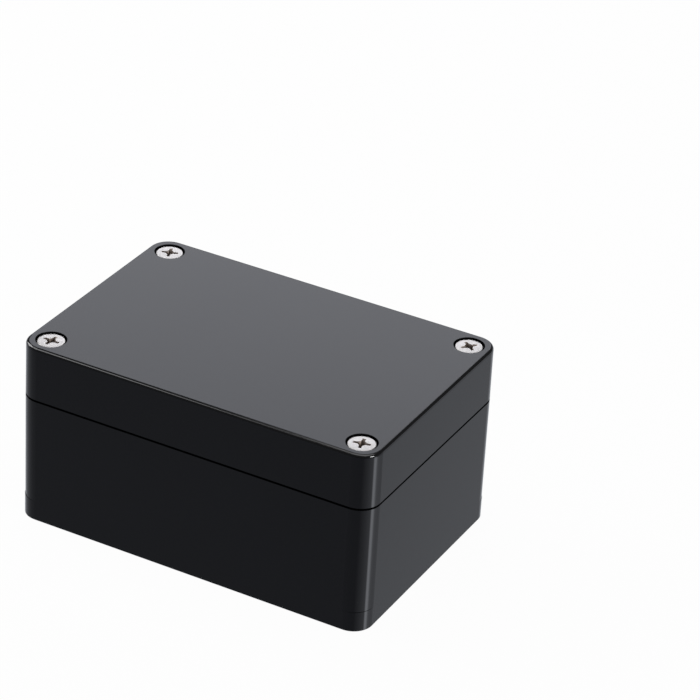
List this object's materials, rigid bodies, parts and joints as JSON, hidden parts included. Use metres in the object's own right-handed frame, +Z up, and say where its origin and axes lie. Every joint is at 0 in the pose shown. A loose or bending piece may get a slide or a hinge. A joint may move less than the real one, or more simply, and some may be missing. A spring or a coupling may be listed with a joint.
{
  "type": "plastic project box",
  "caption": "Sealed black plastic enclosure with a screwed lid, a gasket groove, wells for wall screws and posts for a circuit board.",
  "frame": {"origin": "middle of the underside", "axes": "+X along the length, +Y towards the back, +Z up through the lid"},
  "size_m": [0.1, 0.068, 0.05],
  "materials": {
    "black_abs": "moulded ABS, satin black",
    "seal_rubber": "soft matt neoprene",
    "screw_steel": "bright stainless steel",
    "insert_brass": "turned and knurled brass"
  },
  "bodies": {
    "base": {"base_shell": "black_abs", "threaded_insert_front_left": "insert_brass", "threaded_insert_front_right": "insert_brass", "threaded_insert_back_left": "insert_brass", "threaded_insert_back_right": "insert_brass"},
    "lid": {"lid_cover": "black_abs", "sealing_ring": "seal_rubber"},
    "screw_front_left": {"lid_screw_front_left": "screw_steel"},
    "screw_front_right": {"lid_screw_front_right": "screw_steel"},
    "screw_back_left": {"lid_screw_back_left": "screw_steel"},
    "screw_back_right": {"lid_screw_back_right": "screw_steel"}
  },
  "joints": [
    {"name": "lid_lift", "type": "slide", "parent": "base", "child": "lid", "axis": [0, 0, 1], "range_m": [0, 0.05]},
    {"name": "screw_front_left_out", "type": "slide", "parent": "lid", "child": "screw_front_left", "axis": [0, 0, 1], "range_m": [0, 0.03]},
    {"name": "screw_front_right_out", "type": "slide", "parent": "lid", "child": "screw_front_right", "axis": [0, 0, 1], "range_m": [0, 0.03]},
    {"name": "screw_back_left_out", "type": "slide", "parent": "lid", "child": "screw_back_left", "axis": [0, 0, 1], "range_m": [0, 0.03]},
    {"name": "screw_back_right_out", "type": "slide", "parent": "lid", "child": "screw_back_right", "axis": [0, 0, 1], "range_m": [0, 0.03]}
  ]
}
